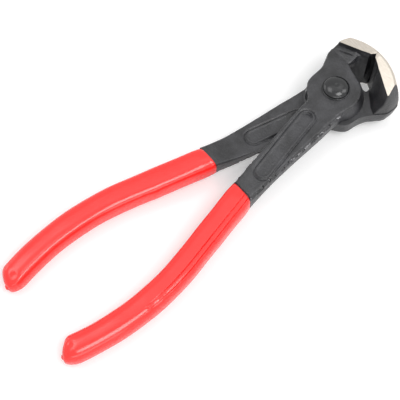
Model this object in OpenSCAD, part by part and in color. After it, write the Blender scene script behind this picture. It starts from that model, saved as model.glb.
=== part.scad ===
// End cutting nippers: two crossed forged levers on one rivet, with dipped grips.
// The pivot axis is Z, the jaws point along +Y and Z = 0 is the plane where the levers lap.
// The front lever carries the jaw on the -X side and the handle on the +X side.
// The rear lever is the same forging turned half a turn about Y.

/* [Overall] */
// Length from the tips of the grips to the cutting edge
overall_l = 179; // [170:1:200]
// Distance from the pivot axis to the cutting edge, at the middle of the jaws
jaw_reach = 26; // [25:0.5:29]

/* [Pivot joint] */
// Thickness of one lever at the joint
lap_t = 6; // [5:0.25:7]
// Radius of the round boss where it meets the lap plane
boss_r = 12.2; // [11.5:0.1:13]
// Radius of the boss at its outer face
boss_face_r = 10.4; // [9.8:0.1:11.2]
// Radius of the rivet shank
shank_r = 3.5; // [2.5:0.1:4]
// Radius of the domed rivet head
rivet_head_r = 5.8; // [5:0.1:7]
// Height of the rivet dome above its skirt
rivet_dome_h = 2.2; // [1.5:0.1:3]
// Height of the straight skirt under the dome
rivet_skirt_h = 0.7; // [0.4:0.1:1]
// Radius of the peened rivet tail
tail_r = 5; // [4.5:0.1:6]
// Depth of the countersink that the tail is peened into
tail_sink = 1.4; // [1:0.1:2]
// Height of the peened tail above the rear face
tail_dome_h = 0.8; // [0.4:0.1:1.4]

/* [Jaws] */
// Length of the cutting edge, across the jaws
jaw_w = 21; // [18:0.5:23]
// Radius of the head's end face in plan, at the middle of the cutting edge
end_r = 26.5; // [24:0.5:29]
// How far the end face falls back from its middle to the flanks
end_crown = 2.6; // [1.6:0.1:3]
// Depth of the flat land behind the cutting edge
edge_land = 1.2; // [0.8:0.1:1.8]
// Depth of the bevel behind the land
bevel_d = 2.4; // [1.5:0.1:3]
// Half width of the hollow where the bevel ends
bevel_half_w = 1.8; // [1.2:0.1:2.4]
// Half width of the hollow between the jaws
hollow_half_w = 5.3; // [4.6:0.1:6]
// Distance from the pivot axis to where the hollow starts to narrow towards the bevel
hollow_reach = 17.5; // [16.5:0.1:18.5]
// Distance from the pivot axis to the ridge where the outer face starts to climb to the flank
ridge_back = 12.4; // [12.2:0.1:13]
// How far the outer face climbs from that ridge to the blade
climb_h = 1.2; // [0.6:0.1:2]
// How far the blade's back leans out at the lap plane
back_lean = 3.4; // [2:0.1:3.6]
// Angle at which the cheeks close in towards the end face
cheek_turn = 20; // [10:1:24]

/* [Front jaw] */
// Half width of the front jaw, half way through its thickness
front_half_w = 16.8; // [16.5:0.1:19]
// Half width of its ground flanks, at their back corners
front_flank_half_w = 14.6; // [14:0.1:16.4]
// Distance from the pivot axis to the flanks' back corners
front_flank_back = 14.6; // [13:0.1:15.4]

/* [Rear jaw] */
// Half width of the rear jaw, half way through its thickness
rear_half_w = 21.4; // [19.4:0.1:22]
// Half width of its ground flanks, at their back corners
rear_flank_half_w = 17; // [15:0.1:18]
// Distance from the pivot axis to the flanks' back corners
rear_flank_back = 12; // [11.6:0.1:14]

/* [Shanks] */
// Distance from the pivot axis down to the grips
grip_start = 59.5; // [54:0.5:62]
// Width of the lever where it enters the grip
mouth_w = 9.8; // [9:0.1:10]
// Thickness of the lever where it enters the grip
mouth_t = 8.2; // [7.8:0.1:9]
// How far each shank reaches past the middle line at its waist
waist_in = 2.6; // [2:0.1:3]
// Distance from the middle line to the outer side at the waist
waist_out = 11.6; // [11:0.1:13]
// Distance from the pivot axis down to the waist
waist_down = 20; // [18:0.5:22]
// Distance from the pivot axis down to where the outer face starts to slope
slope_down = 27; // [22:1:34]
// Distance from the pivot axis down to the crotch, where the shanks part
crotch_down = 40; // [38:0.5:44]
// Width of the raised pads
pad_w = 7; // [5:0.1:7.4]
// Length of the raised pads
pad_l = 37; // [30:1:38]
// Distance from the pivot axis down to the top of the pads
pad_down = 15; // [14:0.5:17]
// Height of the raised pads
pad_h = 0.45; // [0.3:0.05:0.7]
// Length of the shorter pads on the lap side
inner_pad_l = 27; // [22:1:28]

/* [Handles and grips] */
// Distance from the middle line to the handle's centre line at its widest
handle_out = 22.1; // [20:0.1:25]
// Distance from the grip tip up to the widest place
handle_wide_up = 32.5; // [28:0.5:38]
// Radius of the handle's bow
bow_r = 110; // [95:1:130]
// Angle between the straight upper handle and the middle line
splay = 14.2; // [12:0.1:16]
// Width of the forged handle inside the grip
tang_w = 8.4; // [7.5:0.1:9]
// Thickness of the forged handle inside the grip
tang_t = 7.6; // [6.4:0.1:8.4]
// Wall of the dipped grip
grip_wall = 1.1; // [0.8:0.05:1.4]
// Corner radius of the grip's section
grip_round = 3; // [2:0.1:3.6]
// Thickness of solid plastic past the end of the handle
grip_tip_solid = 3.5; // [2:0.5:6]
// Height of the small drip point left at the tip by dipping
drip_h = 0.8; // [0.4:0.1:1.2]
// Radius of the drip point
drip_r = 1.4; // [1:0.1:2]

/* [Fits] */
// Gap between the two levers in the lap plane
lap_gap = 0.1; // [0.06:0.02:0.2]
// Gap between the closed cutting edges
edge_gap = 0.1; // [0.06:0.02:0.2]
// Radial clearance of the front lever on the rivet
run_clear = 0.05; // [0.02:0.01:0.08]
// Radial interference of the rivet in the rear lever
press = 0.01; // [0.005:0.005:0.02]
// Gap between the rivet head and the front face
head_gap = 0.1; // [0.05:0.05:0.3]
// Clearance between the handle and its grip
grip_clear = 0.03; // [0.02:0.01:0.1]
// Step in the handle's surface where its straight, bowed and round stretches meet
stretch_step = 0.04; // [0.02:0.01:0.06]

/* [Hidden] */

// Overrun of every cut past the solid that it cuts
over = 1;

jaw_h = jaw_w / 2;
tip_y = jaw_reach - overall_l;
grip_w = tang_w + 2 * (grip_wall + grip_clear);
grip_t = tang_t + 2 * (grip_wall + grip_clear);
bow_x = handle_out - bow_r;
bow_y = tip_y + handle_wide_up;
cap_y = tip_y + drip_h + grip_w / 2;
cap_a = asin((cap_y - bow_y) / bow_r);
bow_top_x = bow_x + bow_r * cos(splay);
bow_top_y = bow_y + bow_r * sin(splay);
straight_l = (-grip_start - bow_top_y) / cos(splay);
mouth_x = bow_top_x - straight_l * sin(splay);

// Middle of the end face's crown, on a circle through its middle and both flanks
crown_r = (pow(jaw_h, 2) + pow(end_crown, 2)) / (2 * end_crown);
end_centre_y = jaw_reach - end_r;
crown_centre_y = jaw_reach - crown_r;

// Inner end of the flank's straight back edge, where the bevel starts
flank_start = [bevel_half_w, jaw_reach - end_crown - edge_land - bevel_d];

// Outer outline of the neck, as shares of the jaw's half width and of its reach
neck_shares = [
  [0.42, -0.37], [0.62, -0.22], [0.66, 0], [0.72, 0.16], [0.83, 0.3], [0.93, 0.42], [0.98, 0.53], [1, 0.62]
];

$fn = 96;

// Outline of the head and neck on the +X side, seen from the front
module head_outline(half_w) {
  polygon(concat(
    [[0, 0]],
    [for (s = neck_shares) [s[0] * half_w, s[1] * jaw_reach]],
    [[half_w, jaw_reach + over], [0, jaw_reach + over]]
  ));
}

// Barrel that gives the head its crowned end face
module end_barrel() {
  translate([0, end_centre_y, 0])
    rotate_extrude($fn = 180)
      intersection() {
        translate([0, -jaw_h]) square([end_r, jaw_w]);
        translate([end_r - crown_r, 0]) circle(r = crown_r, $fn = 180);
      }
}

// Space inside the cheeks, which slope away from the ground flanks and close in towards the end face
module inside_cheeks(half_w, flank) {
  bulge = half_w - flank.x;
  crest = jaw_h / 6;
  past = bulge * over / (jaw_h - crest);
  translate([flank.x, flank.y, 0])
    rotate([90, 0, cheek_turn])
      translate([0, 0, -jaw_reach])
        linear_extrude(3 * jaw_reach)
          polygon([
            [-2 * jaw_reach, -jaw_h - over], [-past, -jaw_h - over], [bulge, -crest],
            [bulge, crest], [-past, jaw_h + over], [-2 * jaw_reach, jaw_h + over]
          ]);
}

// Everything that the head may fill
module head_blank(half_w, flank) {
  intersection() {
    end_barrel();
    inside_cheeks(half_w, flank);
    translate([0, 0, -jaw_h - over]) linear_extrude(jaw_w + 2 * over) head_outline(half_w);
  }
}

// Plan of the blade, in front of the flank's straight back edge
module blade_plan(half_w, flank) {
  fall = (flank_start.y - flank.y) / (flank.x - flank_start.x);
  polygon([
    [0, flank_start.y], flank_start,
    [half_w + over, flank.y - fall * (half_w + over - flank.x)],
    [half_w + over, jaw_reach + over], [0, jaw_reach + over]
  ]);
}

// Back of the blade on the lap side, leaning out from the flank down to the lap plane
module leaning_back(flank) {
  run = flank - flank_start;
  past = back_lean * over / jaw_h;
  translate([flank_start.x, flank_start.y, 0])
    rotate([90, 0, 90 + atan2(run.y, run.x)])
      linear_extrude(2 * norm(run))
        polygon([
          [over, -jaw_h - over], [past, -jaw_h - over],
          [-back_lean, 0], [-back_lean, lap_t / 2], [over, lap_t / 2]
        ]);
}

// Plan of the lapping half of the head, from the boss to the blade
module plate_plan(half_w) {
  polygon([
    [0, -boss_r], [half_w + over, -boss_r], [half_w + over, jaw_reach],
    [bevel_half_w, jaw_reach - edge_land - bevel_d],
    [hollow_half_w, hollow_reach], [hollow_half_w, ridge_back], [0, boss_face_r]
  ]);
}

// Ring groove that makes the bevels behind the cutting edges, along their crown
module bevel_cut() {
  edge_r = crown_r - edge_land;
  intersection() {
    translate([0, crown_centre_y, 0])
      rotate([0, 90, 0])
        rotate_extrude($fn = 180)
          polygon([
            [0, -bevel_half_w], [edge_r - bevel_d, -bevel_half_w],
            [edge_r, 0],
            [edge_r - bevel_d, bevel_half_w], [0, bevel_half_w]
          ]);
    translate([-jaw_reach, ridge_back, -jaw_w]) cube([2 * jaw_reach, jaw_reach, 2 * jaw_w]);
  }
}

// Climb from the outer face towards the flank, behind the blade
module climb(half_w) {
  run = jaw_h - lap_t;
  intersection() {
    rotate([90, 0, 90])
      linear_extrude(half_w + over)
        polygon([
          [ridge_back, 0], [ridge_back, lap_t], [ridge_back + run, lap_t + climb_h],
          [jaw_reach, lap_t + climb_h], [jaw_reach, 0]
        ]);
    translate([0, 0, lap_t / 2]) linear_extrude(jaw_h) plate_plan(half_w);
  }
}

// Jaw and neck, on the +X side, with the lap above Z = 0
module jaw(half_w, flank) {
  difference() {
    union() {
      intersection() {
        head_blank(half_w, flank);
        translate([0, 0, -jaw_h - over]) linear_extrude(jaw_w + 2 * over) blade_plan(half_w, flank);
      }
      intersection() {
        head_blank(half_w, flank);
        translate([0, 0, lap_gap / 2]) linear_extrude(lap_t - lap_gap / 2) plate_plan(half_w);
      }
      intersection() {
        head_blank(half_w, flank);
        leaning_back(flank);
        translate([0, 0, -jaw_h - over]) linear_extrude(jaw_w) plate_plan(half_w);
      }
      intersection() {
        head_blank(half_w, flank);
        climb(half_w);
      }
    }
    bevel_cut();
    translate([-over, 0, -jaw_h - over]) cube([over + edge_gap / 2, jaw_reach + over, jaw_w + 2 * over]);
  }
}

// Round boss of the lap joint
module boss() {
  translate([0, 0, lap_gap / 2])
    cylinder(r1 = boss_r, r2 = boss_face_r, h = lap_t - lap_gap / 2);
}

// Shank from the boss to the mouth of the grip, on the +X side, standing off the lap plane by the pad height
module shank() {
  half = mouth_w / 2;
  lap_side = lap_gap / 2 + pad_h;
  intersection() {
    translate([0, 0, -tang_t])
      linear_extrude(lap_t + 2 * tang_t)
        polygon([
          [boss_face_r * cos(15), boss_face_r * sin(15)],
          [waist_out, -waist_down],
          [mouth_x + half, -grip_start],
          [mouth_x - half, -grip_start],
          [-waist_in, -waist_down],
          [-boss_r * cos(70), -boss_r],
          [-boss_r * cos(45), -boss_r * sin(45)],
          [0, 0]
        ]);
    rotate([90, 0, 90])
      translate([0, 0, -boss_r])
        linear_extrude(2 * boss_r + handle_out)
          polygon([
            [0, lap_t], [0, lap_side], [-crotch_down, lap_side],
            [-grip_start, -mouth_t / 2], [-grip_start - over, -mouth_t / 2],
            [-grip_start - over, mouth_t / 2], [-grip_start, mouth_t / 2],
            [-slope_down, lap_t]
          ]);
  }
}

// Points of a rectangle with rounded corners, or of its right half
function bar_points(w, t, r, half = false) = concat(
  half ? [[0, -t / 2]] : [],
  [for (corner = half ? [-1, 0] : [-1 : 2], k = [0 : 3])
    let (
      a = 90 * corner + 30 * k,
      side = corner < 1 ? 1 : -1,
      top = corner == 0 || corner == 1 ? 1 : -1
    )
      [side * (w / 2 - r) + r * cos(a), top * (t / 2 - r) + r * sin(a)]],
  half ? [[0, t / 2]] : []
);

// One handle-shaped bar of a given section, from the mouth to its round end
module handle_bar(w, t, r, end_a) {
  lapped_a = atan(over / bow_r);
  translate([bow_x, bow_y, 0])
    rotate([0, 0, end_a])
      rotate_extrude(angle = splay + lapped_a - end_a, $fn = 360)
        translate([bow_r, 0]) polygon(bar_points(w, t, r));
  translate([bow_top_x, bow_top_y, 0])
    rotate([90, 0, splay])
      translate([0, 0, -straight_l - w])
        linear_extrude(straight_l + w)
          polygon(bar_points(w + 2 * stretch_step, t + 2 * stretch_step, r));
  translate([bow_x + bow_r * cos(end_a), bow_y + bow_r * sin(end_a), 0])
    rotate_extrude()
      polygon(bar_points(w - 2 * stretch_step, t - 2 * stretch_step, r, true));
}

// Space below the mouth of the grip, less a gap
module below_mouth(gap) {
  translate([-overall_l, tip_y - over, -overall_l])
    cube([2 * overall_l, -grip_start - tip_y + over - gap, 2 * overall_l]);
}

// Angle on the bow where the forged handle's round end is centred
tang_a = asin((cap_y + grip_tip_solid - bow_y) / bow_r);

// Forged handle inside the grip
module tang() {
  intersection() {
    handle_bar(tang_w, tang_t, grip_round / 2, tang_a);
    below_mouth(-over);
  }
}

// Raised pad with round ends along the shank's face
module pad_plan(length) {
  lean = atan((mouth_x + waist_in / 2) / (grip_start - waist_down / 2));
  translate([waist_in, -pad_down - pad_w / 2])
    rotate([0, 0, lean - 180]) {
      circle(d = pad_w);
      translate([-pad_w / 2, 0]) square([pad_w, length - pad_w]);
      translate([0, length - pad_w]) circle(d = pad_w);
    }
}

// The outer pad stands out of the sloping face by the pad height, the inner one reaches the lap plane
module pads() {
  translate([0, 0, lap_gap / 2]) linear_extrude(lap_t / 2) pad_plan(inner_pad_l);
  intersection() {
    translate([0, 0, -tang_t]) linear_extrude(lap_t + 2 * tang_t) pad_plan(pad_l);
    rotate([90, 0, 90])
      translate([0, 0, -boss_r])
        linear_extrude(2 * boss_r + handle_out)
          polygon([
            [-boss_r, lap_t + pad_h], [-slope_down, lap_t + pad_h],
            [-grip_start, mouth_t / 2 + pad_h], [-grip_start, mouth_t / 2 - pad_h],
            [-slope_down, lap_t - pad_h], [-boss_r, lap_t - pad_h]
          ]);
  }
}

// Whole forging, before its rivet hole is drilled
module forging(half_w, flank) {
  mirror([1, 0, 0]) jaw(half_w, flank);
  boss();
  shank();
  tang();
  pads();
}

// Front lever, bored to turn on the rivet
module front_lever() {
  color([0.3, 0.3, 0.31])
    difference() {
      forging(front_half_w, [front_flank_half_w, front_flank_back]);
      translate([0, 0, -over]) cylinder(r = shank_r + run_clear, h = lap_t + 2 * over);
    }
}

// Rear lever, bored to grip the rivet and countersunk for its tail
module rear_lever() {
  color([0.27, 0.27, 0.28])
    difference() {
      rotate([0, 180, 0]) forging(rear_half_w, [rear_flank_half_w, rear_flank_back]);
      translate([0, 0, -lap_t - over]) cylinder(r = shank_r - press, h = lap_t + 2 * over);
      translate([0, 0, -lap_t]) cylinder(r1 = tail_r, r2 = shank_r - press, h = tail_sink);
      translate([0, 0, -lap_t - over]) cylinder(r = tail_r, h = over);
    }
}

// Rivet: shank, domed head in front and peened tail behind
module pivot_rivet() {
  dome_r = (pow(rivet_head_r, 2) + pow(rivet_dome_h, 2)) / (2 * rivet_dome_h);
  tail_dome_r = (pow(tail_r, 2) + pow(tail_dome_h, 2)) / (2 * tail_dome_h);
  head_z = lap_t + head_gap;
  color([0.2, 0.2, 0.21])
    union() {
      translate([0, 0, -lap_t]) cylinder(r = shank_r, h = lap_t + head_z);
      translate([0, 0, head_z]) cylinder(r = rivet_head_r, h = rivet_skirt_h);
      intersection() {
        translate([0, 0, head_z + rivet_skirt_h + rivet_dome_h - dome_r]) sphere(r = dome_r);
        translate([0, 0, head_z + rivet_skirt_h]) cylinder(r = rivet_head_r, h = rivet_dome_h);
      }
      translate([0, 0, -lap_t]) cylinder(r1 = tail_r, r2 = shank_r, h = tail_sink);
      intersection() {
        translate([0, 0, -lap_t - tail_dome_h + tail_dome_r]) sphere(r = tail_dome_r);
        translate([0, 0, -lap_t - tail_dome_h]) cylinder(r = tail_r, h = tail_dome_h);
      }
    }
}

// Dipped grip on the front lever's handle
module grip() {
  difference() {
    union() {
      intersection() {
        handle_bar(grip_w, grip_t, grip_round, cap_a);
        below_mouth(grip_clear);
      }
      translate([bow_x + bow_r * cos(cap_a), cap_y - grip_w / 2 - drip_h + drip_r, 0])
        sphere(r = drip_r);
    }
    handle_bar(tang_w + 2 * grip_clear, tang_t + 2 * grip_clear, grip_round / 2 + grip_clear, tang_a);
  }
}

module front_grip() {
  color([0.86, 0.1, 0.09]) grip();
}

module rear_grip() {
  color([0.86, 0.1, 0.09]) rotate([0, 180, 0]) grip();
}

front_lever();
rear_lever();
pivot_rivet();
front_grip();
rear_grip();
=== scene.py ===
import math
from collections import namedtuple

import bpy
import numpy as np
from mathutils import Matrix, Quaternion, Vector

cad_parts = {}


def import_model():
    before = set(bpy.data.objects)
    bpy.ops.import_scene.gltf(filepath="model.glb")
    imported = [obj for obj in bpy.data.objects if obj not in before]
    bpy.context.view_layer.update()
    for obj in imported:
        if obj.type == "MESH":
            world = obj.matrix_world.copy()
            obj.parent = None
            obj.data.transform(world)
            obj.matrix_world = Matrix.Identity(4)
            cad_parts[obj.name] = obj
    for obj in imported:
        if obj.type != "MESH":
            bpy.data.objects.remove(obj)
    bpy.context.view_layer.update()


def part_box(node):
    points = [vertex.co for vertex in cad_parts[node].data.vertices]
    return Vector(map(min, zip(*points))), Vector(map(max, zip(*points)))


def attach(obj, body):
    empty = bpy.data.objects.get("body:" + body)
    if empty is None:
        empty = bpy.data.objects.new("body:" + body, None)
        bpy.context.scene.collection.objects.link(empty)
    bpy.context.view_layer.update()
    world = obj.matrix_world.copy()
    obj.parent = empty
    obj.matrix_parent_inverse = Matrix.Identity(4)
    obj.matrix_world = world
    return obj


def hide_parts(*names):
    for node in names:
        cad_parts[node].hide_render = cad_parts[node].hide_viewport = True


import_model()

# All sizes below are millimetres in the frame of the solids, unless a comment says otherwise.
# Z is the pivot's axis, +Y points to the cutting edge and +X to the front lever's handle.
MM = 0.001
front_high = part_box("front_lever")[1] / MM
rear_low, rear_high = (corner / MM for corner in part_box("rear_lever"))
grip_low, grip_high = (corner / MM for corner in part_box("front_grip"))
rivet_low, rivet_high = (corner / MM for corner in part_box("pivot_rivet"))

# Joint
LAP_T = 6.0
LAP_GAP = 0.1
BOSS_R = 12.2
BOSS_FACE_R = 10.4
BOSS_FILLET = 1.5
BORE_R = 3.55
# Way from the pivot to where the front lever crosses over the rear one
CROSSING_WAY = (-0.636, -0.772)

# Rivet
HEAD_R = 5.8
HEAD_GAP = 0.1
HEAD_LIP = 0.3
# Roundness of the head, where 2 is a plain ellipse
DOME_POWER = 2.1
CENTRE_MARK_R = 0.45
CENTRE_MARK_D = 0.07
SHANK_R = BORE_R - 0.1
TAIL_R = 5.0
TAIL_SINK = 1.4

# Jaws
JAW_H = front_high.z
JAW_REACH = rear_high.y
END_R = 26.5
END_CROWN = 2.6
CROWN_R = (JAW_H ** 2 + END_CROWN ** 2) / (2 * END_CROWN)
EDGE_GAP = 0.1
EDGE_LAND = 1.2
# How much longer the closed land is at the jaw's lower face
LOW_LAND = 1.9
BEVEL_D = 2.4
BEVEL_HALF_W = 1.8
HOLLOW_HALF_W = 5.3
HOLLOW_REACH = 17.5
# How much the hollow widens from the outer face to the lap plane, and over which length that fades
HOLLOW_DRAFT = 1.8
DRAFT_FADE = 4.0
RIDGE_BACK = 12.4
EDGE_BACK = RIDGE_BACK + 1
BACK_LEAN = 3.4
OUTER_LEAN = 2.0
OUTER_LEAN_W = 8.0
BACK_ROUND = 0.6
CHEEK_TURN = math.radians(20)
CHEEK_SWELL = 1.7
CHEEK_ROUND = 3.0
FLANK_START = (BEVEL_HALF_W, JAW_REACH - END_CROWN - EDGE_LAND - BEVEL_D)
# Fall of the ground flank per millimetre away from the cutting edge
FLANK_FALL = 0.045
# Roundness of the edge between the flanks and the end face
GROUND_EDGE = 0.9
# flank_corner is the back corner of the ground flank, far_back how far the lower face reaches behind it,
# and way_up is 1 where the lever is drawn as it lies and -1 where it is turned over
Jaw = namedtuple("Jaw", "half_w flank_corner far_back way_up")
FRONT_JAW = Jaw(16.8, (14.6, 14.6), 1.7, 1)
REAR_JAW = Jaw(21.4, (17.0, 12.0), 0, -1)
# Outer outline of the neck, as shares of the jaw's half width and of its reach
NECK_SHARES = [
    (0.42, -0.37), (0.62, -0.22), (0.66, 0), (0.72, 0.16), (0.83, 0.3), (0.93, 0.42), (0.98, 0.53),
    (1, 0.62)
]
# How far the outlines of the neck and of the hollow run past what other faces cut off
PAST_END = 4.0
PAST_MIDDLE = 3.0
PAST_SIDE = 9.0

# Climb from the boss face to the front of the jaw
CLIMB_H = 1.2
CLIMB_FILLET = 0.9
STREAK_H = 0.42
STREAK_W = 1.1
STREAK_L = 7.0
# Lump of metal that the hollow's punch pushed up beside its corner
LUMP_H = 0.6
LUMP_R = 0.8944
LUMP_PLACE = (HOLLOW_HALF_W + 1.5, HOLLOW_REACH - 0.3)

# Shanks
GRIP_START = 59.5
MOUTH_W = 9.8
MOUTH_T = 8.2
WAIST_IN = 2.6
WAIST_OUT = 11.6
WAIST_DOWN = 20.0
SHANK_FILLET = 1.0
WALL_DRAFT = 0.05
# Angles on the boss, in radians, where the shank's outer edge starts and where its inner edge ends
OUTER_LEAVES = 0.26
INNER_PASSES = 1.22
INNER_ENDS = 0.79
# Where the upper and the lower face start to slope to the mouth of the grip, and how gently they start
SLOPE_DOWN = 27.0
SLOPE_POWER = 1.3
CROTCH_DOWN = 40.0
CROTCH_POWER = 1.5
PAD_W = 7.0
PAD_L = 37.0
PAD_DOWN = 15.0
PAD_H = 0.45
INNER_PAD_L = 27.0
# Rim of a pad, how deep the field within it is and how much deeper at its upper end, the groove that the
# die's edge left round it, and the fine pits of the field
PAD_RIM = 1.2
PAD_SUNK = 0.22
PAD_END_SUNK = 1.3
PAD_GROOVE_D = 0.3
PIT_D = 0.05
PIT_W = 0.6

# Forging
FORGED_EDGE = 1.0
# Softness of the steps that a worn die leaves
DIE_WEAR = 0.12
FACE_WAVE = 0.03
FACE_WAVE_L = 9.0
WALL_WAVE = 0.04
WALL_WAVE_L = 6.0
# How far below the pivot the trimmed flash starts on the shank, how far above it on the neck, and over
# which length it comes up there
FLASH_SHANK = 4.0
FLASH_NECK = 1.0
FLASH_FADE = 4.0
# Height of its line as a share of the wall's and how far it wanders, the notches torn out along it, the
# land that trimming left below it, and the chips above it
FLASH_SHARE = 0.72
FLASH_WANDER = 0.3
NOTCH_D = 1.1
NOTCH_H = 0.6
FLASH_LAND = 0.3
CHIP_D = 0.2

# Handles and grips
TIP_Y = grip_low.y
HANDLE_OUT = 22.1
HANDLE_WIDE_UP = 32.5
BOW_R = 110.0
SPLAY = math.radians(14.2)
TANG_W = 8.4
TANG_T = 7.6
TANG_ROUND = 1.5
# How far the tang reaches up into the shank
TANG_LAP = 1.0
GRIP_CLEAR = 0.03
GRIP_W = 10.66
GRIP_T = 9.86
TIP_SOLID = 3.5
BOW_X = HANDLE_OUT - BOW_R
BOW_Y = TIP_Y + HANDLE_WIDE_UP
DRIP_H = 0.8
CAP_A = math.asin((TIP_Y + DRIP_H + GRIP_W / 2 - BOW_Y) / BOW_R)
TANG_A = math.asin((TIP_Y + DRIP_H + GRIP_W / 2 + TIP_SOLID - BOW_Y) / BOW_R)
BOW_TOP = (BOW_X + BOW_R * math.cos(SPLAY), BOW_Y + BOW_R * math.sin(SPLAY))
STRAIGHT_L = (-GRIP_START - BOW_TOP[1]) / math.cos(SPLAY)
MOUTH_X = BOW_TOP[0] - STRAIGHT_L * math.sin(SPLAY)
# Roundness of the sleeve's section at its mouth, at its tip and at its rolled lip, and of the bore for the
# tang, where 2 is an ellipse and more is nearer a box
MOUTH_POWER = 3.8
TIP_POWER = 2.6
LIP_POWER = 3.6
BORE_POWER = 5.0
# Length over which the slant of the mouth dies out
MOUTH_FADE = 14.0
LIP_ROUND = 0.35
LIP_THIN = 0.25
# How much narrower and thinner the tip gets, and its roundness, where 1 is an ellipse and less is blunter
TIP_NARROWS = 0.3
TIP_THINS = 0.15
TIP_BLUNT = 0.55
# Drip point that the dip leaves at the tip, and how far the tip slants towards it per millimetre
NUB_H = 0.6
TIP_SLANT = 0.3
# Rings of the drip point, as shares of its height with their radii
NUB_RINGS = [(0.15, 1.05), (0.45, 0.95), (0.7, 0.75), (0.88, 0.4), (0.97, 0.12)]
# Dent on the upper face near the tip: its depth and radius, how far past the bow's end and how far inwards
DENT_D = 0.45
DENT_R = 1.3
DENT_PLACE = (1.5, -1.2)
# Angle round the section of the seam on the front grip's upper outer corner, in degrees
SEAM_ANGLE = 60
SEAM_W = 1.6
# Height of the seam, depth of the groove on both its sides, and the share of the length where it ends
SEAM_H = 0.3
SEAM_GROOVE_D = 0.6
SEAM_END = 0.56
# Drops on the seam: the shares of the length at which they sit, with their heights
DROPS = [(0.085, 0.6), (0.6, 0.4), (0.66, 0.4)]
# How much thicker the front grip is on its outer side at the mouth, and over which length that fades
OUTER_SWELL = 0.45
OUTER_SWELL_L = 12.0
# Pinch at the rear grip's mouth, run of plastic on its inner side, and faint flow line: how deep or high
# each one is, and at which angle round the section
PINCH_D = 0.5
PINCH_ANGLE = 225
RUN_H = 0.35
RUN_ANGLE = 180
RUN_DOWN = 25.0
LINE_H = 0.22
LINE_ANGLE = 228
# Faint waves along both grips
GRIP_WAVE = 0.04

# Mesh; its faces are bare ground steel within GROUND_NEAR of the ground flanks and end
GROUND_NEAR = 0.06
CELL = 0.34
SHARP_ANGLE = math.radians(40)


# Shapes as distance fields: below zero inside, in millimetres

def round_meet(a, b, r):
    """What lies in both a and b, with the edge between them rounded."""
    return np.minimum(np.maximum(a, b), -r) + np.hypot(np.maximum(a + r, 0), np.maximum(b + r, 0))


def round_join(a, b, r):
    """What lies in a or b, with a fillet between them."""
    return np.maximum(np.minimum(a, b), r) - np.hypot(np.maximum(r - a, 0), np.maximum(r - b, 0))


def fade(distance, softness):
    """1 well below zero and 0 well above it, with a soft change between."""
    return 1 / (1 + np.exp(np.clip(distance / softness, -60, 60)))


def hump(offset, width):
    """1 at no offset, falling off to both sides."""
    return np.exp(-(offset / width) ** 2)


def smooth_line(points, steps=5):
    """Curve through the points, with a few steps between each two."""
    p = np.array(points, float)
    p = np.vstack([2 * p[0] - p[1], p, 2 * p[-1] - p[-2]])
    t = np.linspace(0, 1, steps, endpoint=False)[:, None]
    runs = []
    for a, b, c, d in zip(p[:-3], p[1:-2], p[2:-1], p[3:]):
        even = 2 * b + (c - a) * t + (2 * a - 5 * b + 4 * c - d) * t ** 2
        runs.append(0.5 * (even + (3 * b - a - 3 * c + d) * t ** 3))
    return np.vstack(runs + [p[-2:-1]])


def outline_distance(points, x, y):
    """Distance from a closed outline in plan."""
    nearest = np.full(np.broadcast(x, y).shape, np.inf)
    inside = np.zeros(nearest.shape, bool)
    for (ax, ay), (bx, by) in zip(points, np.roll(points, -1, axis=0)):
        ex, ey = bx - ax, by - ay
        wx, wy = x - ax, y - ay
        t = np.clip((wx * ex + wy * ey) / (ex * ex + ey * ey), 0, 1)
        nearest = np.minimum(nearest, (wx - t * ex) ** 2 + (wy - t * ey) ** 2)
        inside ^= ((ay > y) != (by > y)) & ((wx * ey < wy * ex) == (ey > 0))
    return np.where(inside, -1, 1) * np.sqrt(nearest)


def handle_distance(x, y, end_a):
    """Distance in plan from the handle's centre line, which ends on the bow at angle end_a."""
    from_top = np.arctan2(y - BOW_Y, x - BOW_X)
    on_bow = np.abs(np.hypot(x - BOW_X, y - BOW_Y) - BOW_R)
    end_x, end_y = BOW_X + BOW_R * math.cos(end_a), BOW_Y + BOW_R * math.sin(end_a)
    past_end = np.hypot(x - end_x, y - end_y)
    on_straight = np.abs((x - BOW_TOP[0]) * math.cos(SPLAY) + (y - BOW_TOP[1]) * math.sin(SPLAY))
    return np.where(from_top > SPLAY, on_straight, np.where(from_top < end_a, past_end, on_bow))


def ripple(x, y, z, length):
    """Uneven swell between about -1 and 1 with a given wave length."""
    k = 2 * math.pi / length
    along_x = np.sin(k * x + 1.3 * np.sin(0.7 * k * y))
    along_y = np.sin(0.8 * k * y + 1.1 * np.sin(0.9 * k * z + 2))
    along_z = np.sin(1.1 * k * z + 1.7 * np.sin(0.6 * k * x + 1))
    return (along_x + along_y + along_z) / 3


def grit(u, v):
    """Uneven values between -1 and 1 on a grid of unit squares, blended between its corners."""
    def at(i, j):
        return 2 * np.modf(np.abs(np.sin(i * 12.9898 + j * 78.233) * 43758.5453))[0] - 1
    i, j = np.floor(u), np.floor(v)
    a, b = u - i, v - j
    a, b = a * a * (3 - 2 * a), b * b * (3 - 2 * b)
    low = at(i, j) * (1 - a) + at(i + 1, j) * a
    high = at(i, j + 1) * (1 - a) + at(i + 1, j + 1) * a
    return low * (1 - b) + high * b


# Forged levers, drawn with the jaw on the -X side and the handle on the +X side

def toward_grip(y, start, power):
    """How far a face has sloped: 0 down to the start, 1 at the mouth of the grip."""
    return np.clip((-start - y) / (GRIP_START - start), 0, None) ** power


def flash_line(y):
    """Height of the line along the side walls where the forging flash was trimmed."""
    wall_h = LAP_T - (LAP_T - MOUTH_T / 2) * toward_grip(y, SLOPE_DOWN, SLOPE_POWER)
    return FLASH_SHARE * wall_h + FLASH_WANDER * grit(y / 3.1, 0)


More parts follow.
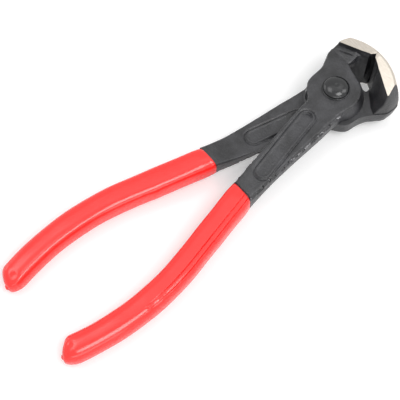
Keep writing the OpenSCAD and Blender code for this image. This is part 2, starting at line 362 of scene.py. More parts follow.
def torn_flash(x, y, z):
    """How much the ragged edge of the trimmed flash takes off the side walls or adds to them."""
    shown = np.clip((-y - FLASH_SHANK) / FLASH_FADE, 0, 1) * (x > 0)
    shown = shown + np.clip((y - FLASH_NECK) / FLASH_FADE, 0, 1) * (x < 0)
    above = z - flash_line(y)
    torn = np.clip(2.2 * grit(y / 1.7, 3.7) + 1.2 * grit(y / 0.8, 9.2) + 0.3, 0, 1)
    land = fade(above, DIE_WEAR)
    chips = CHIP_D * grit(y / 1.1, z / 0.8) * (1 - land)
    return shown * (NOTCH_D * torn * hump(above, NOTCH_H) - FLASH_LAND * land + chips)


def worn_flash(x, y, z):
    """Where the torn flash stands out so far that its oxide has rubbed off."""
    specks = grit(y / 1.2, 5.1) + 0.7 * grit(y / 0.6, z / 0.5) > 0.3
    return specks & (x > 0) & (y < -6) & (np.abs(z - flash_line(y) - 0.2) < 0.55)


def pad_relief(x, y, length):
    """Height of a raised pad above the shank's face: a rim round a slightly sunken, pitted field."""
    lean = math.atan((MOUTH_X + WAIST_IN / 2) / (GRIP_START - WAIST_DOWN / 2))
    along_x, along_y = math.sin(lean), -math.cos(lean)
    wx, wy = x - WAIST_IN, y + PAD_DOWN + PAD_W / 2
    down = wx * along_x + wy * along_y
    t = np.clip(down, 0, length - PAD_W)
    edge = np.hypot(wx - t * along_x, wy - t * along_y) - PAD_W / 2
    field = fade(edge + PAD_RIM, DIE_WEAR)
    from_end = np.clip(down + PAD_W / 2 - PAD_RIM, 0, None)
    sunk = PAD_SUNK + PAD_END_SUNK * np.exp(-from_end / 1.1) - PIT_D * grit(x / PIT_W, y / PIT_W)
    groove = PAD_GROOVE_D * hump(edge - 0.25, 0.35)
    return PAD_H * fade(edge + 0.35, DIE_WEAR) - sunk * field - groove


def neck_outline(half_w):
    """Outer outline of the neck and the jaw in plan."""
    return np.vstack([
        smooth_line([(across * half_w, up * JAW_REACH) for across, up in NECK_SHARES]),
        [(half_w, JAW_REACH + PAST_END), (-PAST_MIDDLE, JAW_REACH + PAST_END), (-PAST_MIDDLE, 0)],
    ])


def hollow_outline(half_w):
    """What lies outside the hollow between the jaws, in plan."""
    aside = half_w + PAST_SIDE
    return np.array([
        (0, -BOSS_R), (aside, -BOSS_R), (aside, JAW_REACH), (BEVEL_HALF_W, JAW_REACH - EDGE_LAND - BEVEL_D),
        (HOLLOW_HALF_W, HOLLOW_REACH), (HOLLOW_HALF_W, RIDGE_BACK), (0, BOSS_FACE_R)
    ])


def shank_outline():
    """Outline of the shank in plan, from the boss to the mouth of the grip."""
    half = MOUTH_W / 2
    outer_edge = smooth_line([
        (BOSS_FACE_R * math.cos(OUTER_LEAVES), BOSS_FACE_R * math.sin(OUTER_LEAVES)),
        (WAIST_OUT - 1, -WAIST_DOWN / 2), (WAIST_OUT, -WAIST_DOWN), (WAIST_OUT + 1.1, -1.7 * WAIST_DOWN),
        (MOUTH_X + half, -GRIP_START)
    ])
    inner_edge = smooth_line([
        (MOUTH_X - half, -GRIP_START), (-WAIST_IN, -WAIST_DOWN),
        (-BOSS_R * math.cos(INNER_PASSES), -BOSS_R),
        (-BOSS_R * math.cos(INNER_ENDS), -BOSS_R * math.sin(INNER_ENDS))
    ])
    return np.vstack([outer_edge, inner_edge, [(0, 0)]])


def boss_distance(x, y, z):
    """Distance from the boss, which narrows towards its face and where the other lever crosses it."""
    from_pivot = np.hypot(x, y)
    toward = 4 * (x * CROSSING_WAY[0] + y * CROSSING_WAY[1]) / (from_pivot + 1)
    crossing = np.clip(toward - 2.1, 0, 1)
    return from_pivot - BOSS_R + (BOSS_R - BOSS_FACE_R) * np.maximum(z / LAP_T, crossing)


def cheek_distance(x, y, z, jaw):
    """Distance from the jaw's outer cheek, which swells between its two flanks."""
    flank_x, flank_y = jaw.flank_corner
    out = (-x - flank_x) * math.cos(CHEEK_TURN) + (y - flank_y) * math.sin(CHEEK_TURN)
    bulge = jaw.half_w - flank_x
    swell = bulge * (1 - (np.minimum(np.abs(z), JAW_H + 1) / JAW_H) ** CHEEK_SWELL)
    return (out - swell) * math.cos(math.atan(bulge / JAW_H))


def upper_face(x, y, z, q):
    """Height of the upper face: boss, shank with its pad, and the climb, whose streaks q runs across."""
    up = np.clip((y - RIDGE_BACK) / (JAW_H - LAP_T), 0, 1)
    streaks = STREAK_H * np.sqrt(up) * grit(q / STREAK_W, -x / STREAK_L)
    lump = LUMP_H * hump(np.hypot(-x - LUMP_PLACE[0], y - LUMP_PLACE[1]), LUMP_R)
    slope = (LAP_T - MOUTH_T / 2) * toward_grip(y, SLOPE_DOWN, SLOPE_POWER)
    waves = FACE_WAVE * ripple(x, y, z, FACE_WAVE_L)
    return LAP_T + CLIMB_H * up + streaks + lump - slope + pad_relief(x, y, PAD_L) + waves


def lower_face(x, y):
    """Height of the lower face: the lap plane, then the shank with its pad, which slopes to the grip."""
    under = toward_grip(y, CROTCH_DOWN, CROTCH_POWER)
    relief = PAD_H * fade(BOSS_R - np.hypot(x, y), DIE_WEAR) * (y < 0)
    pad = np.clip(pad_relief(x, y, INNER_PAD_L), -PAD_H, PAD_H) * (relief > 0.01)
    return LAP_GAP / 2 + relief * (1 - under) - (LAP_GAP / 2 + MOUTH_T / 2) * under - pad


def tang_distance(x, y, z):
    """Distance from the bar with rounded edges that the grip is dipped on."""
    wide = handle_distance(x, y, TANG_A) - TANG_W / 2 + TANG_ROUND
    tall = np.abs(z) - TANG_T / 2 + TANG_ROUND
    bar = np.hypot(np.maximum(wide, 0), np.maximum(tall, 0)) + np.minimum(np.maximum(wide, tall), 0)
    return np.maximum(bar - TANG_ROUND, y + GRIP_START - TANG_LAP)


def ground_faces(x, y, z, way_up):
    """Distance from the ground faces of the jaw: flanks with the end face, closed edge and bevel."""
    xj = -x
    flank = np.abs(z) - JAW_H + FLANK_FALL * np.clip(xj - BEVEL_HALF_W, 0, None)
    across = np.hypot(x, y - (JAW_REACH - END_R))
    end = np.minimum(np.hypot(across - (END_R - CROWN_R), z) - CROWN_R, y)
    shut = np.minimum(EDGE_GAP / 2 - xj, y - EDGE_BACK)
    edge_r = CROWN_R - EDGE_LAND - LOW_LAND * np.clip(-way_up * z / JAW_H, 0, 1)
    deep = np.clip((edge_r - np.hypot(y - (JAW_REACH - CROWN_R), z)) / BEVEL_D, 0, 1)
    bevel = (BEVEL_HALF_W * deep - xj) * math.cos(math.atan(BEVEL_HALF_W / BEVEL_D))
    bevel = np.minimum(bevel, y - EDGE_BACK)
    shape = np.broadcast(x, y, z).shape
    return np.stack([np.broadcast_to(f, shape) for f in (round_meet(flank, end, GROUND_EDGE), shut, bevel)])


def forging_field(jaw):
    """Distance field of one forged lever."""
    neck, hollow, shank = neck_outline(jaw.half_w), hollow_outline(jaw.half_w), shank_outline()
    run = np.array([jaw.flank_corner[0] - FLANK_START[0], jaw.flank_corner[1] - FLANK_START[1]])
    run /= np.linalg.norm(run)

    def field(x, y, z):
        xj = -x
        far_back = jaw.far_back * np.clip(-z / JAW_H, 0, 1)
        outer = round_meet(outline_distance(neck, xj, y), cheek_distance(x, y, z, jaw), CHEEK_ROUND)
        draft = np.clip(1 - z / LAP_T, 0, 1) * np.clip((HOLLOW_REACH - y) / DRAFT_FADE, 0, 1)
        inner = outline_distance(hollow, xj, y) + HOLLOW_DRAFT * draft - far_back

        # Boss, neck and shank, between the upper and the lower face
        plan = round_join(boss_distance(x, y, z), np.maximum(outer, inner), BOSS_FILLET)
        wall = outline_distance(shank, x, y) + WALL_DRAFT * np.maximum(z, 0)
        plan = round_join(plan, wall, SHANK_FILLET)
        plan = plan + WALL_WAVE * ripple(x, y, z, WALL_WAVE_L) + torn_flash(x, y, z)
        q = (y - FLANK_START[1]) * run[0] - (xj - FLANK_START[0]) * run[1]
        above = z - upper_face(x, y, z, q)
        below = lower_face(x, y) - z
        under_round = np.clip(4 * toward_grip(y, CROTCH_DOWN, CROTCH_POWER), 0.02, FORGED_EDGE)
        plate = round_meet(plan, above, FORGED_EDGE)
        lapped, bare = np.maximum(plate, below), round_meet(plate, below, under_round)
        plate = np.maximum(np.where(y > -CROTCH_DOWN, lapped, bare), -GRIP_START - y)

        # Jaw, as high as its flanks; q is the distance from their back edge
        low = BACK_LEAN + OUTER_LEAN * np.clip((xj - HOLLOW_HALF_W) / OUTER_LEAN_W, 0, 1)
        lean = -q - low * np.clip(1 + z / JAW_H, 0, 1) - far_back
        over = round_join(above, -q, CLIMB_FILLET)
        head = round_meet(outer, over, FORGED_EDGE)
        head = np.maximum(head, round_meet(round_join(inner, -q, BACK_ROUND), over, FORGED_EDGE / 2))
        behind = np.maximum(head, np.minimum(LAP_GAP / 2 - z, lean))
        head = np.where(z < 0, round_meet(head, lean, BACK_ROUND), behind)

        body = np.minimum(np.minimum(plate, head), tang_distance(x, y, z))
        body = np.maximum(body, BORE_R - np.hypot(x, y))
        return np.maximum(body, ground_faces(x, y, z, jaw.way_up).max(axis=0))

    return field


# Meshing

def grid_crossing(field, start, step, v0, v1, cell):
    """Where the field is zero on grid edges that go from start along step, by a guess and a correction."""
    t = v0 / (v0 - v1)
    between = field(*(start + cell * np.outer(t, step)).T)
    beyond = np.sign(between) == np.sign(v0)
    near_t, near_v = np.where(beyond, t, 0), np.where(beyond, between, v0)
    far_t, far_v = np.where(beyond, 1, t), np.where(beyond, v1, between)
    drop = np.where(np.abs(near_v - far_v) < 1e-9, 1, near_v - far_v)
    return start + cell * np.outer(np.clip(near_t + (far_t - near_t) * near_v / drop, 0, 1), step)


def slopes(field, p, small=1e-3):
    """Unit vectors along which the field grows at the points p."""
    n = np.array([field(*(p + small * e).T) - field(*(p - small * e).T) for e in np.eye(3)]).T
    return n / np.maximum(np.linalg.norm(n, axis=1, keepdims=True), 1e-12)


def contour(field, low, high, cell):
    """Vertices and faces of the field's zero surface, with its sharp edges kept.

    Each grid cell that the surface runs through gets one vertex, and each grid edge that it crosses gets
    one face between the four cells round that edge.
    """
    axes = [np.arange(a, b + cell, cell) for a, b in zip(low, high)]
    values = field(axes[0][:, None, None], axes[1][None, :, None], axes[2][None, None, :])
    inside = values < 0
    shape = np.array(values.shape)
    cells, spots, tilts, quads = [], [], [], []
    for axis in range(3):
        step, b, c = np.roll(np.eye(3, dtype=int), -axis, axis=0)
        first = tuple(slice(0, -1) if a == axis else slice(1, -1) for a in range(3))
        second = tuple(slice(1, None) if a == axis else slice(1, -1) for a in range(3))
        at = np.argwhere(inside[first] != inside[second]) + (1 - step)
        start = np.array([axes[a][at[:, a]] for a in range(3)]).T
        p = grid_crossing(field, start, step, values[tuple(at.T)], values[tuple((at + step).T)], cell)
        n = slopes(field, p)
        ring = np.array([np.ravel_multi_index((at - shift).T, shape) for shift in (0 * b, b, b + c, c)]).T
        leaving = inside[tuple(at.T)]
        quads.append(np.where(leaving[:, None], ring, ring[:, ::-1]))
        for k in range(4):
            cells.append(ring[:, k])
            spots.append(p)
            tilts.append(n)
    place, used = cell_vertices(np.concatenate(cells), np.vstack(spots), np.vstack(tilts))
    corner = np.array(np.unravel_index(used, shape)).T * cell + np.array([a[0] for a in axes])
    place = np.clip(place, corner - 0.1 * cell, corner + 1.1 * cell)
    return place, np.searchsorted(used, np.vstack(quads))


def cell_vertices(cells, spots, tilts):
    """For each cell, where the planes through its crossings meet, drawn a little towards their middle."""
    pull = 0.03 / 4
    used, of = np.unique(cells, return_inverse=True)
    count = np.bincount(of)
    middle = np.array([np.bincount(of, spots[:, a]) for a in range(3)]).T / count[:, None]
    offset = np.einsum("ij,ij->i", tilts, spots - middle[of])
    right = np.array([np.bincount(of, tilts[:, a] * offset) for a in range(3)]).T
    left = np.array([[np.bincount(of, tilts[:, a] * tilts[:, b]) for a in range(3)] for b in range(3)])
    left = left.transpose(2, 0, 1) + pull * np.eye(3) * count[:, None, None]
    return middle + np.linalg.solve(left, right[:, :, None])[:, :, 0], used


def tube_faces(rings, around):
    """Faces between each ring of points and the next one, and over both ends."""
    faces = [tuple(reversed(range(around))), tuple((rings - 1) * around + k for k in range(around))]
    for i in range(rings - 1):
        for k in range(around):
            m = (k + 1) % around
            faces.append((i * around + k, i * around + m, (i + 1) * around + m, (i + 1) * around + k))
    return faces


def new_piece(name, points, faces, half_turn=False):
    """Mesh object in metres; half_turn lays a front piece behind as the rear one."""
    points = np.asarray(points, float) * MM
    if half_turn:
        points = points * [-1, 1, -1]
    mesh = bpy.data.meshes.new(name)
    mesh.from_pydata(points.tolist(), [], [list(map(int, f)) for f in faces])
    mesh.validate()
    mesh.polygons.foreach_set("use_smooth", [True] * len(mesh.polygons))
    mesh.update()
    piece = bpy.data.objects.new(name, mesh)
    bpy.context.scene.collection.objects.link(piece)
    return piece


def fit(piece, body, node):
    """Keeps a piece within its solid's box and puts it in that solid's place."""
    spots = np.empty(3 * len(piece.data.vertices))
    piece.data.vertices.foreach_get("co", spots)
    spots = np.clip(spots.reshape(-1, 3), *(np.array(corner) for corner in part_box(node)))
    piece.data.vertices.foreach_set("co", spots.ravel())
    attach(piece, body)
    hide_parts(node)


# Materials

def linear(hex_colour):
    """sRGB hex colour as the linear colour that the shaders want."""
    parts = [int(hex_colour[i:i + 2], 16) / 255 for i in (1, 3, 5)]
    return tuple(c / 12.92 if c <= 0.04045 else ((c + 0.055) / 1.055) ** 2.4 for c in parts) + (1.0,)


def add(tree, kind, inputs=None, ramp=(), **properties):
    """Adds a node. Its inputs are nodes, sockets or values; a ramp is places with their hex colours."""
    node = tree.nodes.new(kind)
    for name, value in properties.items():
        setattr(node, name, value)
    for name, source in (inputs or {}).items():
        if isinstance(source, bpy.types.Node):
            source = source.outputs[0]
        if isinstance(source, bpy.types.NodeSocket):
            tree.links.new(source, node.inputs[name])
        else:
            node.inputs[name].default_value = source
    for i, (place, colour) in enumerate(ramp):
        node.color_ramp.elements[i].position = place
        node.color_ramp.elements[i].color = linear(colour)
    return node


def material(name, surface):
    """Material whose shader is made by the surface function."""
    made = bpy.data.materials.new(name)
    made.use_nodes = True
    tree = made.node_tree
    tree.nodes.clear()
    add(tree, "ShaderNodeOutputMaterial", {"Surface": surface(tree)})
    return made


def per_mm(size):
    """Noise scale for features of a size in millimetres."""
    return 1 / (size * MM)


def black_oxide_forging(tree):
    """Drop-forged steel, tumbled and blackened: a dark satin skin with a fine grain and faint clouds.

    The real grain is about 0.2 mm; it is drawn at 0.8 mm, so that it shows.
    """
    place = add(tree, "ShaderNodeTexCoord").outputs["Object"]
    grain = add(tree, "ShaderNodeTexNoise",
                {"Vector": place, "Scale": per_mm(0.8), "Detail": 4.0, "Roughness": 0.7})
    cloud = add(tree, "ShaderNodeTexNoise", {"Vector": place, "Scale": per_mm(7), "Detail": 2.0})
    both = add(tree, "ShaderNodeMath", {0: grain, 1: 0.5, 2: cloud}, operation="MULTIPLY_ADD")
    black = add(tree, "ShaderNodeValToRGB", {"Fac": both}, ramp=((0.55, "#151517"), (0.95, "#37373a")))
    satin = add(tree, "ShaderNodeMapRange", {"Value": cloud, "To Min": 0.26, "To Max": 0.38})
    bump = add(tree, "ShaderNodeBump", {"Height": grain, "Strength": 1.0, "Distance": 0.0002})
    return add(tree, "ShaderNodeBsdfPrincipled",
               {"Base Color": black, "Roughness": satin, "Normal": bump, "IOR": 1.55, "Metallic": 0.0})


def ground_steel(tree):
    """Steel ground bright on a belt: fine parallel lines about 0.16 mm apart, a warm light grey."""
    place = add(tree, "ShaderNodeTexCoord").outputs["Object"]
    lines = add(tree, "ShaderNodeMapping", {"Vector": place, "Rotation": (0, 0, 0.5), "Scale": (1, 14, 1)})
    grind = add(tree, "ShaderNodeTexNoise", {"Vector": lines, "Scale": per_mm(2.2), "Detail": 4.0})
    bright = add(tree, "ShaderNodeValToRGB", {"Fac": grind}, ramp=((0.3, "#ccc3b7"), (0.7, "#dcd4c9")))
    sheen = add(tree, "ShaderNodeMapRange", {"Value": grind, "To Min": 0.12, "To Max": 0.2})
    bump = add(tree, "ShaderNodeBump", {"Height": grind, "Strength": 0.3, "Distance": 0.00003})
    return add(tree, "ShaderNodeBsdfPrincipled",
               {"Base Color": bright, "Roughness": sheen, "Normal": bump, "Metallic": 1.0})


def worn_steel(tree):
    """Torn forging flash with its oxide rubbed off: small dull grey specks in the black."""
    place = add(tree, "ShaderNodeTexCoord").outputs["Object"]
    rubbed = add(tree, "ShaderNodeTexNoise", {"Vector": place, "Scale": per_mm(0.5), "Detail": 3.0})
    grey = add(tree, "ShaderNodeValToRGB", {"Fac": rubbed}, ramp=((0.3, "#68686b"), (0.7, "#b0b0b2")))
    dull = add(tree, "ShaderNodeMapRange", {"Value": rubbed, "To Min": 0.35, "To Max": 0.55})
    return add(tree, "ShaderNodeBsdfPrincipled", {"Base Color": grey, "Roughness": dull, "Metallic": 1.0})


def blackened_rivet(tree):
    """Turned rivet, blackened: smoother than the forgings, so that it catches the lamps."""
    place = add(tree, "ShaderNodeTexCoord").outputs["Object"]
    grain = add(tree, "ShaderNodeTexNoise", {"Vector": place, "Scale": per_mm(0.6), "Detail": 3.0})
    black = add(tree, "ShaderNodeValToRGB", {"Fac": grain}, ramp=((0.3, "#121314"), (0.7, "#1c1d1f")))
    polish = add(tree, "ShaderNodeMapRange", {"Value": grain, "To Min": 0.14, "To Max": 0.22})
    bump = add(tree, "ShaderNodeBump", {"Height": grain, "Strength": 0.2, "Distance": 0.00003})
    return add(tree, "ShaderNodeBsdfPrincipled",
               {"Base Color": black, "Roughness": polish, "Normal": bump, "IOR": 1.55, "Metallic": 0.0})


def dipped_vinyl(tree):
    """Soft PVC dipped in one coat: a glossy even red with faint flow ripples."""
    place = add(tree, "ShaderNodeTexCoord").outputs["Object"]
    flow = add(tree, "ShaderNodeTexNoise", {"Vector": place, "Scale": per_mm(6), "Detail": 2.0})
    red = add(tree, "ShaderNodeValToRGB", {"Fac": flow}, ramp=((0.3, "#f72824"), (0.7, "#ff2e2a")))
    gloss = add(tree, "ShaderNodeMapRange", {"Value": flow, "To Min": 0.16, "To Max": 0.24})
    bump = add(tree, "ShaderNodeBump", {"Height": flow, "Strength": 0.2, "Distance": 0.0002})
    return add(tree, "ShaderNodeBsdfPrincipled",
               {"Base Color": red, "Roughness": gloss, "Normal": bump, "IOR": 1.6, "Metallic": 0.0})


# Pieces

def lever(name, jaw, half_turn):
    """One forged lever, contoured from its field, with its ground faces and worn flash in bare steel."""
    low = (-jaw.half_w - 1, TIP_Y + DRIP_H, -JAW_H - 1)
    high = (grip_high.x, JAW_REACH + 1, JAW_H + 1)
    points, faces = contour(forging_field(jaw), low, high, CELL)
    piece = new_piece(name, points, faces, half_turn)
    for finish in (FORGED, GROUND, WORN):
        piece.data.materials.append(finish)
    x, y, z = points[faces].mean(axis=1).T
    ground = (np.abs(ground_faces(x, y, z, jaw.way_up)[0]) < GROUND_NEAR) & (y > RIDGE_BACK - 3)
    slots = np.where(ground, 1, np.where(worn_flash(x, y, z), 2, 0))
    piece.data.polygons.foreach_set("material_index", slots.astype(np.int32))
    piece.data.set_sharp_from_angle(angle=SHARP_ANGLE)
    return piece


def rivet():
    """Rivet turned in one line, from the top of its domed head down to its peened tail."""
    top, bottom = rivet_high.z, rivet_low.z
    seat = LAP_T + HEAD_GAP
    dome_r, dome_h = HEAD_R - HEAD_LIP, top - seat - HEAD_LIP
    line = [(0.25, top - CENTRE_MARK_D), (CENTRE_MARK_R, top - 0.01)]
    for a in np.linspace(0.25, math.pi / 2, 26):
        across, up = math.sin(a) ** (2 / DOME_POWER), math.cos(a) ** (2 / DOME_POWER)
        line.append((dome_r * across, seat + HEAD_LIP + dome_h * up))
    # Lip of the head with its small roundings, then the shank and the cone of the countersink
    line += [(HEAD_R - 0.1, seat + HEAD_LIP - 0.02), (HEAD_R, seat + 0.22), (HEAD_R, seat + 0.1)]
    line += [(HEAD_R - 0.1, seat), (SHANK_R, seat), (SHANK_R, -LAP_T + TAIL_SINK), (TAIL_R, -LAP_T)]
    for a in np.linspace(0.2, 1.54, 8):
        line.append((TAIL_R * math.cos(a), -LAP_T - (-LAP_T - bottom) * math.sin(a)))
    turns = np.radians(np.arange(0, 360, 3.0))
    rings = [(r * np.cos(turns), r * np.sin(turns), np.full(len(turns), z)) for r, z in line[::-1]]
    piece = new_piece("pivot_rivet_turned", np.hstack(rings).T, tube_faces(len(rings), len(turns)))
    piece.data.materials.append(RIVET)
    piece.data.set_sharp_from_angle(angle=SHARP_ANGLE)
    return piece


def in_handle(s, a, b, z):
    """Points at a distance s down the handle from the mouth, then a outwards and b further down."""
    if s <= STRAIGHT_L:
        x0, y0, turn = MOUTH_X + s * math.sin(SPLAY), -GRIP_START - s * math.cos(SPLAY), SPLAY
    else:
        turn = SPLAY - min((s - STRAIGHT_L) / BOW_R, SPLAY - CAP_A)
        x0, y0 = BOW_X + BOW_R * math.cos(turn), BOW_Y + BOW_R * math.sin(turn)
    x = x0 + a * math.cos(turn) + b * math.sin(turn)
    y = y0 + a * math.sin(turn) - b * math.cos(turn)
    return np.stack([x, y, z], axis=1)


def grip(name, half_turn, nub_a, relief):
    """Dipped sleeve: bore for the tang, rolled lip, and blunt tip with a drip point nub_a outwards."""
    length = STRAIGHT_L + BOW_R * (SPLAY - CAP_A)
    nub_y = BOW_Y + BOW_R * math.sin(CAP_A) + nub_a * math.sin(CAP_A)
    blunt = (nub_y - TIP_Y) / math.cos(CAP_A) - NUB_H - TIP_SLANT * abs(nub_a)
    face_up = -1 if half_turn else 1
    # Points round the section, close together at the seam
    theta = np.radians(np.union1d(np.arange(0, 360, 5.0), SEAM_ANGLE + np.arange(-15, 16, 1.0)))
    around = len(theta)

    def ring(s, half_w, half_t, power, slant=None, side=0.0, outside=True):
        """Section at a distance s below the mouth, with a share of the mouth's slant and moved by side."""
        c, q = np.cos(theta), np.sin(theta)
        r = (np.abs(c) ** power + np.abs(q) ** power) ** (-1 / power)
        a, z = half_w * r * c, half_t * r * q
        if outside:
            swell = relief(s, np.degrees(theta), length)
            a, z = a + swell * c, z + swell * q
            dent = DENT_D * hump(np.hypot(s - length - DENT_PLACE[0], a - DENT_PLACE[1]), DENT_R)
            z = z - np.where(z * face_up > 0, face_up * dent, 0)
        a = a + side
        past = max(0, s - length)
        mouth_slant = a * math.tan(SPLAY) * (max(0, 1 - s / MOUTH_FADE) if slant is None else slant)
        tip_slant = math.copysign(TIP_SLANT, nub_a) * a * min(1, past / blunt) ** 2
        return in_handle(s, a, mouth_slant + past + tip_slant, z)

    rings = []
    # Bore, from its closed end up to the mouth
    bore_w, bore_t = TANG_W / 2 + GRIP_CLEAR, TANG_T / 2 + GRIP_CLEAR
    bore_l = STRAIGHT_L + BOW_R * (SPLAY - TANG_A)
    for a in np.linspace(0.04, 1.5, 7):
        w, t = bore_w * math.sin(a), bore_t * math.sin(a)
        rings.append(ring(bore_l + bore_w * math.cos(a), w, t, TIP_POWER, outside=False))
    for s in np.linspace(bore_l, 0.4, 40):
        rings.append(ring(s, bore_w, bore_t, BORE_POWER, outside=False))
    # Rolled lip, then the outside down to the tip
    half_w, half_t = GRIP_W / 2, GRIP_T / 2
    for a in np.linspace(0, math.pi / 2, 5):
        out = LIP_ROUND * math.cos(a) + LIP_THIN
        s = GRIP_CLEAR + LIP_ROUND * (1 - math.sin(a))
        rings.append(ring(s, half_w - out, half_t - out, LIP_POWER, slant=1, outside=False))
    for s in np.linspace(0.8, length, 170):
        power = MOUTH_POWER - (MOUTH_POWER - TIP_POWER) * min(1, max(0, (s - 8) / (length - 20)))
        thin = LIP_THIN * max(0, 1 - s / 4)
        rings.append(ring(s, half_w - thin, half_t - thin, power))
    for a in np.linspace(0.08, 1.5, 18):
        u, v = math.sin(a), math.cos(a) ** TIP_BLUNT
        w, t = half_w * (1 - TIP_NARROWS * u * u) * v, half_t * (1 - TIP_THINS * u * u) * v
        rings.append(ring(length + blunt * u, w, t, TIP_POWER, side=nub_a * u ** 2))
    for share, r in NUB_RINGS:
        rings.append(ring(length + blunt + share * NUB_H, r, r, 2, side=nub_a, outside=False))
    piece = new_piece(name, np.vstack(rings), tube_faces(len(rings), around), half_turn)
    piece.data.materials.append(VINYL)
    return piece


def seam_bead(s, angle, length):
    """Front grip: a raised flow line along its upper outer corner, with a few drops on it."""
    corner_r = 1.15 * GRIP_W / 2
    off = np.radians(angle - SEAM_ANGLE) * corner_r
    edge = np.abs(off) - SEAM_W / 2
    profile = SEAM_H * fade(edge, 0.06) - SEAM_GROOVE_D * hump(edge - 0.15, 0.18)
    line = fade(s - SEAM_END * length, 4) * profile
    drops = sum(h * hump(s - share * length, 1.1) for share, h in DROPS) * hump(off, 0.8)
    outer = OUTER_SWELL * math.exp(-s / OUTER_SWELL_L) * np.clip(np.cos(np.radians(angle)), 0, 1)
    return line + drops + outer + GRIP_WAVE * math.sin(s / 2.7)


def pinched_mouth(s, angle, length):
    """Rear grip: a flat pinch at the mouth's upper inner corner and a small run on its inner side."""
    run = RUN_H * hump(s - RUN_DOWN, 2.2) * hump(angle - RUN_ANGLE, 35)
    line = LINE_H * hump(angle - LINE_ANGLE, 4) * fade(0.55 * length - s, 4)
    pinch = PINCH_D * hump(s, 9) * hump(angle - PINCH_ANGLE, 22)
    return run + line - pinch + GRIP_WAVE * math.sin(s / 3.1 + 1)


FORGED = material("black_oxide_forged_steel", black_oxide_forging)
GROUND = material("ground_steel", ground_steel)
WORN = material("worn_forged_steel", worn_steel)
RIVET = material("blackened_rivet_steel", blackened_rivet)
VINYL = material("dipped_red_vinyl", dipped_vinyl)
fit(lever("front_lever_forging", FRONT_JAW, False), "front_half", "front_lever")
fit(lever("rear_lever_forging", REAR_JAW, True), "rear_half", "rear_lever")
fit(rivet(), "rear_half", "pivot_rivet")
fit(grip("front_grip_sleeve", False, 0.9, seam_bead), "front_half", "front_grip")
fit(grip("rear_grip_sleeve", True, -0.6, pinched_mouth), "rear_half", "rear_grip")


# Studio, in metres and degrees

CAMERA_AZIMUTH = 50.46
CAMERA_ELEVATION = 63
CAMERA_ROLL = -0.32
CAMERA_DISTANCE = 0.3913
CAMERA_TARGET = Vector((0.00126, -0.07326, 0))
# Name, azimuth, elevation, distance, width and height, and power in watts
LAMPS = [
    ("upper_softbox", 228, 72, 0.9, (0.9, 0.4), 0.5),
    ("flank_card", 191, 54, 0.9, (0.3, 0.36), 0.17),
    ("side_softbox", 95, 61, 0.9, (0.42, 0.42), 3.2),
    ("corner_softbox", 146, 44, 0.9, (0.3, 0.4), 1.0),
    ("left_softbox", 300, 64, 0.8, (0.4, 0.35), 0.9),
    ("low_left_softbox", 290, 20, 0.9, (0.4, 0.3), 0.6),
    ("front_fill", 62, 22, 0.9, (0.9, 0.3), 1.8),
]
FLOOR_SIZE = 3.0
FLOOR_GLOW = 0.3
SURROUND = 0.5


def direction(azimuth, elevation):
    """Unit vector towards a place round the object; azimuth 0 is in front, at -Y."""
    a, e = math.radians(azimuth), math.radians(elevation)
    return Vector((math.sin(a) * math.cos(e), -math.cos(a) * math.cos(e), math.sin(e)))


def camera():
    """Long lens on the photograph's side of the tool."""
    back = direction(CAMERA_AZIMUTH, CAMERA_ELEVATION)
    eye = bpy.data.objects.new("camera", bpy.data.cameras.new("camera"))
    eye.data.sensor_width = 36
    eye.data.lens = 90
    eye.data.clip_start = 0.01
    eye.location = CAMERA_TARGET + back * CAMERA_DISTANCE
    eye.rotation_mode = "QUATERNION"
    roll = Quaternion((0, 0, 1), math.radians(CAMERA_ROLL))
    eye.rotation_quaternion = (-back).to_track_quat("-Z", "Y") @ roll
    bpy.context.scene.collection.objects.link(eye)
    bpy.context.scene.camera = eye


def lamp(name, azimuth, elevation, distance, size, power):
    """Softbox that faces the middle of the object."""
    light = bpy.data.lights.new(name, "AREA")
    light.shape = "RECTANGLE"
    light.size, light.size_y = size
    light.energy = power
    box = bpy.data.objects.new(name, light)
    way = direction(azimuth, elevation)
    box.location = CAMERA_TARGET + way * distance
    box.rotation_mode = "QUATERNION"
    box.rotation_quaternion = way.to_track_quat("Z", "Y")
    bpy.context.scene.collection.objects.link(box)


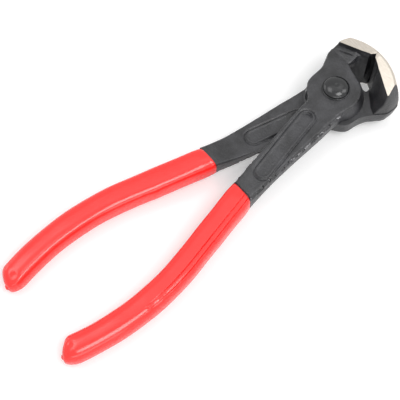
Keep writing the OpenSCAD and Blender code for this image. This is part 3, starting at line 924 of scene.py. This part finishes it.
def seen(tree):
    """1 for rays that show the background: from the camera, mirrored, or through something clear."""
    ray = add(tree, "ShaderNodeLightPath").outputs
    direct = add(tree, "ShaderNodeMath", {0: ray["Is Camera Ray"], 1: ray["Is Glossy Ray"]},
                 operation="MAXIMUM")
    return add(tree, "ShaderNodeMath", {0: direct, 1: ray["Is Transmission Ray"]}, operation="MAXIMUM")


def pale_sheet(tree):
    """Matt pale paper, lifted to white where it is seen, so that only the tool's shadow is left on it."""
    glow = add(tree, "ShaderNodeMath", {0: seen(tree), 1: FLOOR_GLOW}, operation="MULTIPLY")
    return add(tree, "ShaderNodeBsdfPrincipled",
               {"Base Color": linear("#e6e6e6"), "Roughness": 0.9, "Specular IOR Level": 0.0,
                "Emission Color": (1, 1, 1, 1), "Emission Strength": glow})


def floor():
    """Sheet that the tool lies on, touching its rear flanks and its grips."""
    touch_y = REAR_JAW.flank_corner[1]
    rise = (grip_low.z - rear_low.z) / (touch_y - TIP_Y - GRIP_W)
    corners = []
    for x, y in ((-1, -1), (1, -1), (1, 1), (-1, 1)):
        x, y = x * FLOOR_SIZE, y * FLOOR_SIZE
        corners.append((x, y, rear_low.z * MM - (y - touch_y * MM) * rise))
    sheet = bpy.data.meshes.new("floor")
    sheet.from_pydata(corners, [], [(0, 1, 2, 3)])
    sheet.materials.append(material("pale_floor", pale_sheet))
    piece = bpy.data.objects.new("floor", sheet)
    bpy.context.scene.collection.objects.link(piece)


def world():
    """Even pale surround, plain white where it is seen or mirrored."""
    made = bpy.data.worlds.new("studio")
    made.use_nodes = True
    tree = made.node_tree
    tree.nodes.clear()
    soft = add(tree, "ShaderNodeBackground", {"Color": (1, 1, 1, 1), "Strength": SURROUND})
    white = add(tree, "ShaderNodeBackground", {"Color": (1, 1, 1, 1), "Strength": 1.0})
    mix = add(tree, "ShaderNodeMixShader", {0: seen(tree), 1: soft, 2: white})
    add(tree, "ShaderNodeOutputWorld", {"Surface": mix})
    bpy.context.scene.world = made


camera()
for settings in LAMPS:
    lamp(*settings)
floor()
world()
bpy.context.scene.view_settings.view_transform = "Standard"
